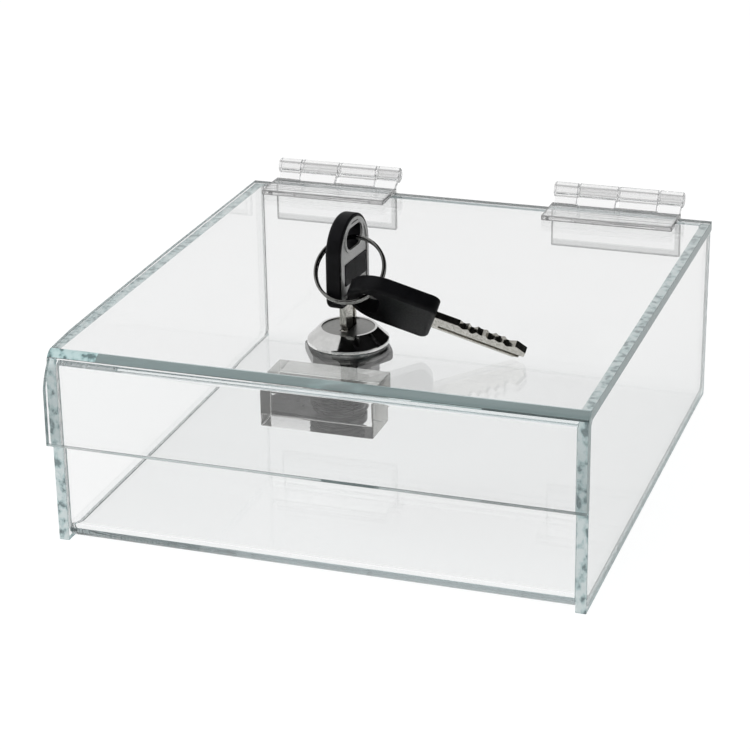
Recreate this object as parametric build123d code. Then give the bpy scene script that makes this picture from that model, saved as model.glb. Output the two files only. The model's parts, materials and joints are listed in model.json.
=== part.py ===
from build123d import *
import math
import os

os.makedirs("parts", exist_ok=True)

# Clear acrylic box with a hinged lid, a cam lock through the lid, its key and a spare on a split ring.
# Millimetres. +Z is up, +X is to the right seen from the front, the front faces -Y.
# The origin is on the surface that the box stands on, under the middle of the lid.

# Box and lid
lid_width = 160.0
lid_depth = 168.0
box_height = 61.0
sheet = 3.2
lid_overhang = 0.3
flange_height = 29.5
flange_gap = 0.4
lid_bend_radius = 6.5
floor_bend_radius = 8.0
lid_seat_gap = 0.1
front_wall_drop = 1.5
front_wall_edge_break = 0.7
glue_line = 0.05
overcut = 1.0

front_face = -lid_depth / 2
back_face = lid_depth / 2
wall_front = front_face + sheet + flange_gap
lid_underside = box_height - sheet
panel_top = lid_underside - lid_seat_gap
panel_outside = lid_width / 2 - lid_overhang
panel_inside = panel_outside - sheet
tray_end = panel_inside - glue_line
front_wall_top = panel_top - front_wall_drop
lid_inner_bend = lid_bend_radius - sheet

# Catch block that the cam turns under, glued inside the front wall
block_width = 33.3
block_depth = 13.6
block_height = 12.0
block_edge_break = 0.5

# Clear plastic butt hinges
hinge_width = 43.5
hinge_lid_leaf_reach = 19.0
hinge_body_leaf_reach = 20.5
hinge_leaf = 1.8
hinge_barrel_radius = 2.6
hinge_pin_radius = 1.1
hinge_axis_behind = 4.0
hinge_axis_above = 5.0
hinge_end_knuckle = 8.2
hinge_knuckle_gap = 0.25
hinge_arm = 2.0
hinge_arm_root = 1.0
hinge_leaf_lip = 0.4
hinge_centres = {"left": -50.0, "right": 48.0}
running_clearance = 0.08
fixed_clearance = 0.02

hinge_axis_y = back_face + hinge_axis_behind
hinge_axis_z = box_height + hinge_axis_above

# Cam lock
lock_x = 1.7
lock_behind_front = 32.4
bezel_radius = 11.75
bezel_rim = 1.5
bezel_rise = 4.7
bezel_face_radius = 8.5
bezel_edge_break = 0.4
barrel_radius = 9.0
barrel_flats = 16.0
barrel_end_wall = 1.5
lock_hole_clearance = 0.15
plug_face_radius = 7.6
plug_face = 1.6
plug_recess = 0.3
plug_radius = 6.3
plug_clearance = 0.06
nut_flats = 23.0
nut_height = 3.0
nut_edge_break = 0.5
neck_radius = 5.0
stop_washer_radius = 8.0
stop_washer = 1.1
stop_washer_gap = 0.1
cam_width = 13.0
cam_hub_radius = 7.5
cam_length = 24.5
cam_thickness = 2.5
cam_edge_break = 0.3
cam_below_barrel = 2.8
tail_square = 6.0
screw_radius = 2.0
screw_head_radius = 4.0
screw_head = 2.6
screw_length = 6.0
screw_slot_width = 1.0
screw_slot_depth = 1.1
cam_washer_radius = 5.0
cam_washer = 0.8

# Wafers in the plug
wafer_count = 5
wafer_below_face = 5.4
wafer_above_end = 3.3
wafer = 1.0
wafer_width = 5.2
wafer_length = 11.0
wafer_window_length = 8.3
wafer_window_width = 2.5
wafer_lug_width = 1.6
wafer_lug_length = 1.2
wafer_lug_place = 1.2
wafer_travel = 1.2
wafer_slot_clearance = 0.1
wafer_spring_radius = 0.5
wafer_spring_bore = 0.25
wafer_spring_length = 3.2

# Keys
key_head_length = 25.3
key_head_width = 21.0
key_head_thickness = 4.7
key_head_corner = 2.6
key_back_edge = 1.3
key_front_edge = 0.5
key_hole_width = 11.4
key_hole_height = 6.4
key_hole_below_top = 6.4
key_plate_border = 0.9
key_plate_above_end = 2.4
key_plate_thickness = 0.65
key_plate_pocket = 0.55
key_plate_corner = 1.2
key_plate_rim = 0.9
key_plate_recess = 0.3
blade_length = 27.0
blade_width = 7.4
blade_thickness = 2.0
blade_tang_length = 7.0
blade_tang_width = 6.0
blade_tip_length = 3.0
blade_tip_width = 3.4
blade_groove_width = 1.4
blade_groove_depth = 0.5
tooth_depths = (1.0, 1.7, 0.7, 1.4, 0.9, 1.6)
tooth_flat = 0.7
tooth_start = 8.0
tooth_end_land = 0.4
key_stands_above_face = 8.4
keyway_clearance = 0.15
keyway_below_tip = 0.3
lock_turn = -4.0

lock_y = front_face + lock_behind_front
bezel_top = box_height + bezel_rise
key_seat_z = bezel_top + key_stands_above_face
key_tip_z = key_seat_z - blade_length
barrel_bottom = key_tip_z - keyway_below_tip - barrel_end_wall
plug_top = bezel_top - plug_recess
cam_top = barrel_bottom - cam_below_barrel
cam_bottom = cam_top - cam_thickness
wafer_room = plug_top - wafer_below_face - wafer - wafer_above_end - barrel_bottom
wafer_pitch = wafer_room / (wafer_count - 1)
tooth_pitch = (blade_length - blade_tip_length - tooth_start - tooth_end_land) / len(tooth_depths)

# Split ring, leaning on the front of the key in the lock
ring_radius = 9.9
ring_wire_radius = 0.5
ring_wire_pitch = 0.94
ring_rest_gap = 0.7
ring_beside = 2.8
ring_top_behind = 0.9
ring_top_below = 0.6
ring_slit = 0.12
ring_slit_length = 1.2

# Spare key, hanging on the ring with its tip on the lid
spare_ring_angle = 51.5
spare_turn = 10.5
spare_roll = 45.0
spare_tip_gap = 0.1
spare_hole_along = -0.1
spare_hole_across = 2.6


def rectangle_between(low, high):
    """A rectangle from one corner to the opposite one, as (across, up) pairs."""
    size = (high[0] - low[0], high[1] - low[1])
    centre = ((high[0] + low[0]) / 2, (high[1] + low[1]) / 2)
    return Pos(*centre) * Rectangle(*size)


def box_between(low, high):
    """A box from its lowest corner to its highest one."""
    size = [b - a for a, b in zip(low, high)]
    centre = [(a + b) / 2 for a, b in zip(low, high)]
    return Pos(*centre) * Box(*size)


def extrude_x(profile, low, high):
    """A profile in the Y-Z plane, made solid from one X to another."""
    return extrude(Plane.YZ.offset(low) * profile, amount=high - low)


def post(radius, low, high):
    """An upright round bar about the Z axis."""
    return Pos(0, 0, (low + high) / 2) * Cylinder(radius, high - low)


def strip(start, end, width):
    """A straight strip of a given width from one point to another."""
    along = (Vector(*end) - Vector(*start)).normalized()
    side = Vector(-along.Y, along.X) * (width / 2)
    corners = [Vector(*start) + side, Vector(*end) + side, Vector(*end) - side, Vector(*start) - side]
    return make_face(Polyline(*corners, close=True))


def tray_sheet():
    """Front wall, floor and back wall, one sheet bent twice."""
    outer = rectangle_between((wall_front, 0), (back_face, panel_top))
    outer = fillet(outer.vertices().group_by(Axis.Y)[0], floor_bend_radius)
    inner = rectangle_between((wall_front + sheet, sheet), (back_face - sheet, panel_top + floor_bend_radius))
    inner = fillet(inner.vertices().group_by(Axis.Y)[0], floor_bend_radius - sheet)
    drop = rectangle_between((wall_front - overcut, front_wall_top), (wall_front + 2 * sheet, panel_top + overcut))
    profile = outer - inner - drop
    edge = profile.vertices().filter_by(lambda v: v.Y > front_wall_top / 2).sort_by(Axis.X)[0]
    return extrude_x(chamfer(edge, front_wall_edge_break), -tray_end, tray_end)


def side_panel(side):
    """A flat end panel, its front top corner rounded to clear the bend of the lid."""
    plate = rectangle_between((wall_front, 0), (back_face, panel_top))
    corner = plate.vertices().sort_by(Axis.X)[:2].sort_by(Axis.Y)[-1]
    plate = fillet(corner, lid_inner_bend)
    low, high = sorted((side * panel_inside, side * panel_outside))
    return extrude_x(plate, low, high)


def catch_block():
    """The thick clear block that keeps the cam down when the lid is locked."""
    back = wall_front + sheet + glue_line
    low = (lock_x - block_width / 2, back, front_wall_top - block_height)
    high = (lock_x + block_width / 2, back + block_depth, front_wall_top)
    return chamfer(box_between(low, high).edges(), block_edge_break)


def lock_section(half_width, flats):
    """The round section with two flats that keeps the lock from turning in the lid."""
    limits = Rectangle(flats, 2 * half_width)
    return Circle(half_width) & limits


def lid_sheet():
    """Top and front flange of the lid, one sheet bent once, with the hole for the lock."""
    outer = rectangle_between((front_face, box_height - flange_height), (back_face, box_height))
    corner = outer.vertices().sort_by(Axis.X)[:2].sort_by(Axis.Y)[-1]
    outer = fillet(corner, lid_bend_radius)
    inner_low = (front_face + sheet, box_height - flange_height - lid_bend_radius)
    inner = rectangle_between(inner_low, (back_face + overcut, lid_underside))
    corner = inner.vertices().sort_by(Axis.X)[:2].sort_by(Axis.Y)[-1]
    inner = fillet(corner, lid_inner_bend)
    plate = extrude_x(outer - inner, -lid_width / 2, lid_width / 2)
    hole = lock_section(barrel_radius + lock_hole_clearance, barrel_flats + 2 * lock_hole_clearance)
    cutter = extrude(Pos(lock_x, lock_y, lid_underside - overcut) * hole, amount=sheet + 2 * overcut)
    return plate - cutter


def knuckle_spans():
    """The four knuckles of a hinge as (start, end) along its width, from its left end."""
    middle = (hinge_width - 2 * hinge_end_knuckle) / 2
    lengths = (hinge_end_knuckle, middle, middle, hinge_end_knuckle)
    spans = []
    start = -hinge_width / 2
    for length in lengths:
        spans.append((start, start + length))
        start += length
    return spans


def hinge_leaf_solid(centre, plate, root, picks, bore):
    """One hinge leaf: its plate, and an arm and a knuckle at each of its own places."""
    axis = (hinge_axis_y, hinge_axis_z)
    leaf = extrude_x(plate, centre - hinge_width / 2, centre + hinge_width / 2)
    leaf = chamfer(leaf.edges().filter_by(Axis.X), hinge_leaf_lip)
    for pick, (start, end) in enumerate(knuckle_spans()):
        if pick not in picks:
            continue
        low = centre + start + (hinge_knuckle_gap / 2 if pick else 0)
        high = centre + end - (hinge_knuckle_gap / 2 if pick < len(knuckle_spans()) - 1 else 0)
        ear = strip(root, axis, hinge_arm) + Pos(*axis) * Circle(hinge_barrel_radius)
        leaf += extrude_x(ear, low, high)
    hole = extrude_x(Pos(*axis) * Circle(bore), centre - hinge_width, centre + hinge_width)
    return leaf - hole


def hinge_body_leaf(centre):
    """The leaf on the outside of the back wall, which holds the pin."""
    low = (back_face + glue_line, hinge_axis_z - hinge_body_leaf_reach)
    high = (low[0] + hinge_leaf, box_height - hinge_leaf_lip)
    root = ((low[0] + high[0]) / 2, high[1] - hinge_arm_root)
    bore = hinge_pin_radius + fixed_clearance
    return hinge_leaf_solid(centre, rectangle_between(low, high), root, (0, 2), bore)


def hinge_lid_leaf(centre):
    """The leaf on top of the lid, which turns on the pin."""
    low = (hinge_axis_y - hinge_lid_leaf_reach, box_height + glue_line)
    high = (back_face, low[1] + hinge_leaf)
    root = (high[0] - hinge_arm_root, (low[1] + high[1]) / 2)
    bore = hinge_pin_radius + running_clearance
    return hinge_leaf_solid(centre, rectangle_between(low, high), root, (1, 3), bore)


def hinge_pin(centre):
    """The pin of one hinge, as long as its knuckles together."""
    pin = extrude_x(Circle(hinge_pin_radius), centre - hinge_width / 2, centre + hinge_width / 2)
    return Pos(0, hinge_axis_y, hinge_axis_z) * pin


def at_lock(solid):
    """Moves a piece modelled about the Z axis to the axis of the lock."""
    return Pos(lock_x, lock_y, 0) * solid


def at_core(solid):
    """Moves a turning piece to the axis of the lock, at the angle that the key rests at."""
    return Pos(lock_x, lock_y, 0) * Rot(0, 0, lock_turn) * solid


def lock_housing():
    """Bezel and threaded barrel in one casting, bored for the plug."""
    seat = box_height + glue_line
    rim_top = seat + bezel_rim
    rim = post(bezel_radius, seat, rim_top)
    rise = bezel_top - rim_top
    cone = Pos(0, 0, rim_top + rise / 2) * Cone(bezel_radius - bezel_edge_break, bezel_face_radius, rise)
    barrel = Pos(0, 0, barrel_bottom) * lock_section(barrel_radius, barrel_flats)
    barrel = extrude(barrel, amount=seat - barrel_bottom)
    body = rim + cone + barrel
    bore = post(plug_radius + plug_clearance, barrel_bottom - overcut, bezel_top)
    face_low = plug_top - plug_face - plug_clearance
    face = post(plug_face_radius + plug_clearance, face_low, bezel_top + overcut)
    return at_lock(body - bore - face)


def lock_nut():
    """The hex nut that clamps the lock to the underside of the lid."""
    across_corners = nut_flats / math.cos(math.radians(30))
    top = lid_underside - glue_line
    body = extrude(Pos(0, 0, top - nut_height) * RegularPolygon(across_corners / 2, 6), amount=nut_height)
    body = body & crowned_cylinder(across_corners / 2, top - nut_height, top)
    return at_lock(body - post(barrel_radius + fixed_clearance, top - nut_height - overcut, top + overcut))


def crowned_cylinder(radius, low, high):
    """A round bar with broken edges, which rounds the corners of a nut."""
    return chamfer(post(radius, low, high).edges(), nut_edge_break)


def wafer_height(index):
    """The underside of one wafer, counted down from the face of the plug."""
    return plug_top - wafer_below_face - index * wafer_pitch - wafer


def lock_plug():
    """The turning cylinder with its keyway, wafer slots, neck and square tail."""
    face = post(plug_face_radius, plug_top - plug_face, plug_top)
    barrel = post(plug_radius, barrel_bottom, plug_top - plug_face)
    neck = post(neck_radius, cam_top, barrel_bottom)
    tail = box_between((-tail_square / 2, -tail_square / 2, cam_bottom), (tail_square / 2, tail_square / 2, cam_top))
    body = face + barrel + neck + tail
    half_keyway = blade_thickness / 2 + keyway_clearance
    half_blade = blade_width / 2 + keyway_clearance
    keyway_low = key_tip_z - keyway_below_tip
    body -= box_between((-half_keyway, -half_blade, keyway_low), (half_keyway, half_blade, plug_top + overcut))
    for index in range(wafer_count):
        low = wafer_height(index) - wafer_slot_clearance
        high = wafer_height(index) + wafer + wafer_slot_clearance
        half = wafer_width / 2 + wafer_slot_clearance
        body -= box_between((-half, -plug_face_radius, low), (half, plug_face_radius, high))
        pocket_low = wafer_lug_place - wafer_spring_length - wafer_slot_clearance
        pocket_high = wafer_lug_place + wafer_lug_length + wafer_travel
        pocket_side = wafer_width / 2 + wafer_lug_width + wafer_slot_clearance
        body -= box_between((0, pocket_low, low), (pocket_side, pocket_high, high))
    body -= post(screw_radius + fixed_clearance, cam_bottom - overcut, cam_bottom + screw_length)
    return at_core(body)


def wafer_plate(index):
    """One flat wafer with a window for the blade and a lug for its spring."""
    low = wafer_height(index)
    plate = box_between((-wafer_width / 2, -wafer_length / 2, low), (wafer_width / 2, wafer_length / 2, low + wafer))
    half_width = wafer_window_width / 2
    half_length = wafer_window_length / 2
    window = box_between((-half_width, -half_length, low - overcut), (half_width, half_length, low + wafer + overcut))
    lug_low = (wafer_width / 2 - overcut, wafer_lug_place, low)
    lug_high = (wafer_width / 2 + wafer_lug_width, wafer_lug_place + wafer_lug_length, low + wafer)
    return at_core(plate - window + box_between(lug_low, lug_high))


def wafer_spring(index):
    """The small spring under the lug of one wafer, as a plain tube."""
    place_x = wafer_width / 2 + wafer_lug_width / 2
    place_z = wafer_height(index) + wafer / 2
    tube = Circle(wafer_spring_radius) - Circle(wafer_spring_bore)
    low_y = wafer_lug_place - wafer_spring_length
    spring = extrude(Plane.XZ.offset(-low_y) * Pos(place_x, place_z) * tube, amount=-wafer_spring_length)
    return at_core(spring)


def stop_washer_solid():
    """The washer between barrel and cam that keeps the plug in."""
    top = barrel_bottom - stop_washer_gap
    ring = post(stop_washer_radius, top - stop_washer, top)
    return at_core(ring - post(neck_radius + fixed_clearance, top - stop_washer - overcut, top + overcut))


def cam():
    """The flat cam, pointing left when the lid is free to open."""
    outline = Circle(cam_hub_radius)
    outline += rectangle_between((-cam_length + cam_width / 2, -cam_width / 2), (0, cam_width / 2))
    outline += Pos(-cam_length + cam_width / 2, 0) * Circle(cam_width / 2)
    hole = tail_square + 2 * fixed_clearance
    outline -= Rectangle(hole, hole)
    plate = extrude(Pos(0, 0, cam_bottom) * outline, amount=cam_thickness - glue_line)
    rim = plate.edges().group_by(Axis.Z)[-1] + plate.edges().group_by(Axis.Z)[0]
    outer = [edge for edge in rim if edge.center().length > 0 and edge.geom_type != GeomType.LINE]
    return at_core(chamfer(outer, cam_edge_break))


def cam_washer_solid():
    """The plain washer under the head of the cam screw."""
    top = cam_bottom - glue_line
    ring = post(cam_washer_radius, top - cam_washer, top)
    return at_core(ring - post(screw_radius + fixed_clearance, top - cam_washer - overcut, top + overcut))


def cam_screw():
    """The screw that holds the cam on the tail of the plug."""
    seat = cam_bottom - cam_washer - 2 * glue_line
    head = post(screw_head_radius, seat - screw_head, seat)
    head = chamfer(head.edges().group_by(Axis.Z)[0], screw_slot_width / 2)
    slot_low = (-screw_head_radius, -screw_slot_width / 2, seat - screw_head - overcut)
    slot_high = (screw_head_radius, screw_slot_width / 2, seat - screw_head + screw_slot_depth)
    shank = post(screw_radius, seat, cam_bottom + screw_length - overcut)
    return at_core(head + shank - box_between(slot_low, slot_high))


def round_top(inset, low, corner):
    """An outline within the key head by an inset: round on top, straight below, with two corners."""
    radius = key_head_width / 2 - inset
    middle = key_head_length - key_head_width / 2
    body = rectangle_between((-radius, low), (radius, middle))
    return fillet(body.vertices().group_by(Axis.Y)[0], corner) + Pos(0, middle) * Circle(radius)


def head_hole(border):
    """The slot in a key head that the ring goes through, with a border round it."""
    slot = SlotOverall(key_hole_width + 2 * border, key_hole_height + 2 * border)
    return Pos(0, key_head_length - key_hole_below_top) * slot


def key_head():
    """The moulded head of a key about its blade: width along Y, blade down, round end up."""
    half = key_head_thickness / 2
    head = extrude_x(round_top(0, 0, key_head_corner), -half, half)
    head = fillet(head.edges().group_by(Axis.X)[0], key_back_edge)
    head = fillet(head.edges().group_by(Axis.X)[-1], key_front_edge)
    plate = round_top(key_plate_border, key_plate_above_end, key_plate_corner)
    head -= extrude_x(plate, half - key_plate_pocket, half + overcut)
    head -= extrude_x(head_hole(0), -half - overcut, half + overcut)
    half_tang = blade_tang_width / 2 + fixed_clearance
    half_blade = blade_thickness / 2 + fixed_clearance
    pocket_high = (half_blade, half_tang, blade_tang_length + fixed_clearance)
    return head - box_between((-half_blade, -half_tang, -overcut), pocket_high)


def key_plate():
    """The metal plate let into the front of a key head, with a raised rim."""
    seat = key_head_thickness / 2 - key_plate_pocket + fixed_clearance
    face = seat + key_plate_thickness
    inset = key_plate_border + fixed_clearance
    plate = extrude_x(round_top(inset, key_plate_above_end + fixed_clearance, key_plate_corner), seat, face)
    panel = round_top(inset + key_plate_rim, key_plate_above_end + key_plate_rim, key_plate_corner)
    plate -= extrude_x(panel - head_hole(key_plate_rim), face - key_plate_recess, face + overcut)
    return plate - extrude_x(head_hole(0), seat - overcut, face + overcut)


def blade_outline():
    """The side view of the blade below the head, with its cuts along the -Y edge."""
    half = blade_width / 2
    tip_half = blade_tip_width / 2
    points = [(half, 0), (-half, 0)]
    for index, depth in enumerate(tooth_depths):
        place = -tooth_start - index * tooth_pitch
        run = (tooth_pitch - tooth_flat) / 2
        points += [(-half, place + run), (depth - half, place), (depth - half, place - tooth_flat)]
    last = -tooth_start - len(tooth_depths) * tooth_pitch
    points += [(-half, last), (-half, -blade_length + blade_tip_length), (-tip_half, -blade_length)]
    points += [(tip_half, -blade_length), (half, -blade_length + blade_tip_length)]
    return make_face(Polyline(*points, close=True))


def key_blade():
    """The steel blade, with a groove in each side and a tang that the head holds."""
    half = blade_thickness / 2
    blade = extrude_x(blade_outline(), -half, half)
    tang = rectangle_between((-blade_tang_width / 2, -overcut), (blade_tang_width / 2, blade_tang_length))
    blade += extrude_x(tang, -half, half)
    groove_y = blade_width / 4
    for side in (-1, 1):
        low, high = sorted((side * (half - blade_groove_depth), side * (half + overcut)))
        groove = rectangle_between(
            (groove_y - blade_groove_width / 2, -blade_length - overcut),
            (groove_y + blade_groove_width / 2, -blade_tip_width / 2),
        )
        blade -= extrude_x(groove, low, high)
    return blade


def ring_lean():
    """How far the ring leans forward from upright, in degrees, with its bottom against the head."""
    reach = ring_wire_radius + ring_wire_pitch / 2
    return math.degrees(math.asin((key_head_width / 2 + ring_top_behind + ring_rest_gap + reach) / (2 * ring_radius)))


def split_ring():
    """Two close turns of wire about the Z axis, with the slit where each end lies."""
    top = Pos(ring_radius, ring_wire_pitch / 2) * Circle(ring_wire_radius)
    low = Pos(ring_radius, -ring_wire_pitch / 2) * Circle(ring_wire_radius)
    ring = revolve(Plane.XZ * (top + low), Axis.Z)
    reach = ring_radius + ring_wire_radius + overcut
    for side in (-1, 1):
        low_z, high_z = sorted((0, side * (ring_wire_pitch + ring_wire_radius)))
        low_x, high_x = sorted((side * ring_slit_length, side * (ring_slit_length + ring_slit)))
        ring -= box_between((low_x, 0, low_z), (high_x, reach, high_z))
    return ring


def key_place():
    """Where the key in the lock stands: the bottom of its head above the lock, turned with it."""
    return Location((lock_x, lock_y, key_seat_z), (0, 0, lock_turn))


def ring_axes():
    """The middle of the ring, its downward direction and its axis."""
    top_z = key_seat_z + key_head_length - key_hole_below_top - ring_top_below
    top = Vector(lock_x + ring_beside, lock_y + ring_top_behind, top_z)
    lean = math.radians(ring_lean())
    down = Vector(0, -math.sin(lean), -math.cos(lean))
    axis = Vector(0, math.cos(lean), -math.sin(lean))
    return top + down * ring_radius, down, axis


def ring_place():
    """The plane of the ring, its Y direction away from the lid."""
    centre, down, axis = ring_axes()
    return Plane(origin=centre, x_dir=Vector(1, 0, 0), z_dir=axis).location


def spare_point():
    """The point on the wire that the spare key hangs on."""
    centre, down, axis = ring_axes()
    angle = math.radians(spare_ring_angle)
    return centre + (Vector(1, 0, 0) * math.sin(angle) + down * math.cos(angle)) * ring_radius


def spare_place():
    """Where the spare key lies: its hole on the wire, turned on edge, its tip just above the lid."""
    roll = math.radians(spare_roll)
    turn = math.radians(spare_turn)
    point = spare_point()
    hole_z = point.Z - spare_hole_across * math.sin(roll)
    shoulder = key_head_length - key_hole_below_top + spare_hole_along + blade_length - blade_tip_length
    corner = blade_width / 2 * math.sin(roll) + blade_thickness / 2 * math.cos(roll)
    drop = math.asin((hole_z - box_height - spare_tip_gap - corner) / shoulder)
    along = Vector(math.cos(turn) * math.cos(drop), math.sin(turn) * math.cos(drop), -math.sin(drop))
    level = Vector(-math.sin(turn), math.cos(turn), 0)
    width = level * math.cos(roll) + along.cross(level) * -math.sin(roll)
    hole = point + width * spare_hole_across + along * spare_hole_along
    origin = hole + along * (key_head_length - key_hole_below_top)
    return Plane(origin=origin, x_dir=along.cross(width), z_dir=-along).location


def all_nodes():
    """Every piece of the box by name."""
    nodes = {
        "tray_sheet": tray_sheet(),
        "side_panel_left": side_panel(-1),
        "side_panel_right": side_panel(1),
        "catch_block": catch_block(),
        "lid_sheet": lid_sheet(),
        "lock_housing": lock_housing(),
        "lock_nut": lock_nut(),
        "lock_plug": lock_plug(),
        "stop_washer": stop_washer_solid(),
        "cam": cam(),
        "cam_washer": cam_washer_solid(),
        "cam_screw": cam_screw(),
        "key_head": key_place() * key_head(),
        "key_plate": key_place() * key_plate(),
        "key_blade": key_place() * key_blade(),
        "split_ring": ring_place() * split_ring(),
        "spare_key_head": spare_place() * key_head(),
        "spare_key_plate": spare_place() * key_plate(),
        "spare_key_blade": spare_place() * key_blade(),
    }
    for name, centre in hinge_centres.items():
        nodes[f"hinge_{name}_body_leaf"] = hinge_body_leaf(centre)
        nodes[f"hinge_{name}_lid_leaf"] = hinge_lid_leaf(centre)
        nodes[f"hinge_{name}_pin"] = hinge_pin(centre)
    for index in range(wafer_count):
        nodes[f"wafer_{index + 1}"] = wafer_plate(index)
        nodes[f"wafer_spring_{index + 1}"] = wafer_spring(index)
    return nodes


for node_name, node_solid in all_nodes().items():
    export_step(node_solid, f"parts/{node_name}.step")
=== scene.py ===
import json
import math

import bpy
from mathutils import Matrix, Vector


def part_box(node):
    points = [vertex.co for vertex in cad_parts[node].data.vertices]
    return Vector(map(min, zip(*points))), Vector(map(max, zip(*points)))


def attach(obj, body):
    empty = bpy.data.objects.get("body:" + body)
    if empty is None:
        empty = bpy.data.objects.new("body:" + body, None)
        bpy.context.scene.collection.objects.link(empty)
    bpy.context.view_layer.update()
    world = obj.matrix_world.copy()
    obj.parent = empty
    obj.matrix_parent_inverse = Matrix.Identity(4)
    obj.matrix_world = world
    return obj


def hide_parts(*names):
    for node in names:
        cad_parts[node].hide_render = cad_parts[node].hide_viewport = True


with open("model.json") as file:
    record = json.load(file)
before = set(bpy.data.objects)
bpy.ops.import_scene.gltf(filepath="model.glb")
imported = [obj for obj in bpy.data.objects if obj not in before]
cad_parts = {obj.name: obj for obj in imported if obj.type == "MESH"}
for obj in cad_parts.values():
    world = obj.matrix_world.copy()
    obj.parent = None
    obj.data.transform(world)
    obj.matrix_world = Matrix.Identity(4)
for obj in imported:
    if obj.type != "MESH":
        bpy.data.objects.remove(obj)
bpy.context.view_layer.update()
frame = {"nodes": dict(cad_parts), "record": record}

# Clear acrylic box with a hinged lid, a cam lock through the lid, its key and a spare on a split ring.
# Metres. +Z is up, +X is to the right seen from the front, the front faces -Y.

mm = 0.001

# Sheets of the box and lid
sheet = 3.2 * mm
lid_bend_radius = 3.5 * mm
panel_corner = 3.3 * mm
floor_bend_radius = 6.0 * mm
bend_segments = 20
front_wall_drop = 1.5 * mm
flange_height = 29.5 * mm
edge_break = 0.25 * mm
front_wall_edge_break = 0.7 * mm
block_edge_break = 0.5 * mm
edge_segments = 2

# Left end of the lid, drawn in beside the hot bend
neck_in = 2.0 * mm
neck_reach = 12.0 * mm
neck_long = 0.9 * mm
neck_long_reach = 90.0 * mm
neck_cut_shares = (0.1, 0.2, 0.4, 0.7, 1.0)

# Which faces count as cut, as the break of an edge, or as part of the bend, by their normal
cut_normal = 0.5
edge_normal = 0.2
bend_normal = 0.02

# Saw marks on the clear pieces, from 0 for none to 1, and how matt and how opaque they make a face; their
# mottled dark teal colour is painted shade
saw_mark_and_shade_share = 0.8
lid_side_share = 0.12
sawn_roughness = 0.2
frost = 0.8
# Length from the left end over which the outside of the lid's bend takes the saw marks, whose dark teal
# colour is painted shade
mottled_bend_length = 17.0 * mm

# Painted shade on the clear pieces, on edges, bends and joints, from 0 for clear to 1 for black
side_edge_shade = 0.55
bend_and_base_shade = 0.37
joint_and_edge_shade = 0.9
block_end_shade = 0.45
block_top_shade = 0.25
shaded_seam_width = 0.6 * mm
flange_left_share = 0.3
bend_line_shades = (0.3, 0.6, 0.9)
bend_line_start = 10.0 * mm
bend_line_step = 20.0 * mm

# Lock
lock_place = Vector((1.7 * mm, -51.6 * mm, 0))
lock_turn = -4.0
barrel_radius = 9.0 * mm
barrel_half_flats = 8.0 * mm
lock_hole_radius = 9.15 * mm
lock_hole_half_flats = 8.15 * mm
bezel_radius = 11.75 * mm
bezel_rim = 1.5 * mm
bezel_face_radius = 8.5 * mm
bezel_round = 0.35 * mm
bezel_gap = 0.05 * mm
thread_depth = 0.5 * mm
thread_pitch = 1.0 * mm
bore_radius = 6.36 * mm
face_bore_radius = 7.66 * mm
face_bore_depth = 1.96 * mm
round_sides = 96

# Hinges
hinge_centres = {"left": -50.0 * mm, "right": 48.0 * mm}
hinge_width = 43.5 * mm
hinge_lid_leaf_reach = 19.0 * mm
hinge_body_leaf_reach = 20.5 * mm
hinge_leaf = 1.8 * mm
hinge_behind = 4.0 * mm
hinge_above = 5.0 * mm
hinge_knuckle = 2.6 * mm
hinge_bore = 1.2 * mm
hinge_end_knuckle = 8.2 * mm
hinge_gap = 0.25 * mm
hinge_arm = 2.0 * mm
hinge_arm_root = 1.0 * mm
hinge_lip = 0.4 * mm
# Painted shade on the hinge leaves: grey on their low and end bands and on the breaks of the plate's edges
hinge_band_shade = 0.16
hinge_line_shade = 0.5
hinge_flat_normal = 0.97
hinge_end_normal = 0.9
hinge_low_band = 2.2 * mm
hinge_end_band = 1.8 * mm
body_leaf_knuckles = (0, 2)
lid_leaf_knuckles = (1, 3)
glue_line = 0.05 * mm
knuckle_sides = 48
back_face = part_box("tray_sheet")[1].y
lid_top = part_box("lid_sheet")[1].z
hinge_axis_y = back_face + hinge_behind
hinge_axis_z = lid_top + hinge_above

# Badge on the plate of the key in the lock
badge_low = Vector((2.1 * mm, -6.5 * mm, 80.0 * mm))
badge_high = Vector((2.42 * mm, 8.4 * mm, 86.4 * mm))
badge_edge = 0.15 * mm

# Mesh work
same_place = 0.02 * mm
weld_distance = 0.001 * mm
smooth_angle = 32.0
sharp_angle = 40.0
flat_face_weight = 100

# Noise of the finishes, as scale, detail and stretch, and the ranges that it is read over
saw_grain = (420, 4, (1, 1, 0.8))
saw_relief = (380, 3)
wipe_marks = (60, 3, (1, 1, 0.4))
drawn_streaks = (700, 2, (0.03, 1, 1))
floor_mottle = (3, 2)
card_weave = (20, 2)
metal_detail = 4
moulded_detail = 5
moulded_tone_detail = 3
moulded_tone_spread = 8
noise_low = 0.3
noise_high = 0.7
tone_low = 0.35
tone_high = 0.65

# Clear plastics
acrylic_ior = 1.49
relief_strength = 1.0
relief_depth = 0.4 * mm
# Mottled colour of the saw marks: the near white is the matt sawn face, the dark teal is painted shade
saw_mark_and_shade_stops = [(0.37, (0.06, 0.13, 0.14)), (0.56, (0.93, 1, 1)), (0.46, (0.58, 0.74, 0.75))]
# Colours of the painted shade: clear at 0, a dim teal, olive or grey at dim_place, near black at 1
untoned = (1, 1, 1)
edge_black = (0.01, 0.015, 0.015)
dim_place = 0.45
teal = (0.42, 0.56, 0.56)
olive = (0.52, 0.52, 0.47)
grey = (0.46, 0.46, 0.46)
faint_shade = (0.95, 0.97, 0.97)
hinge_shade = (0.93, 0.93, 0.93)

# Metals and moulded plastic
metal_dent = 0.05
metal_depth = 0.02 * mm
moulded_dent = 0.3
moulded_depth = 0.03 * mm
moulded_ior = 1.5
moulded_specular = 0.15

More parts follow.
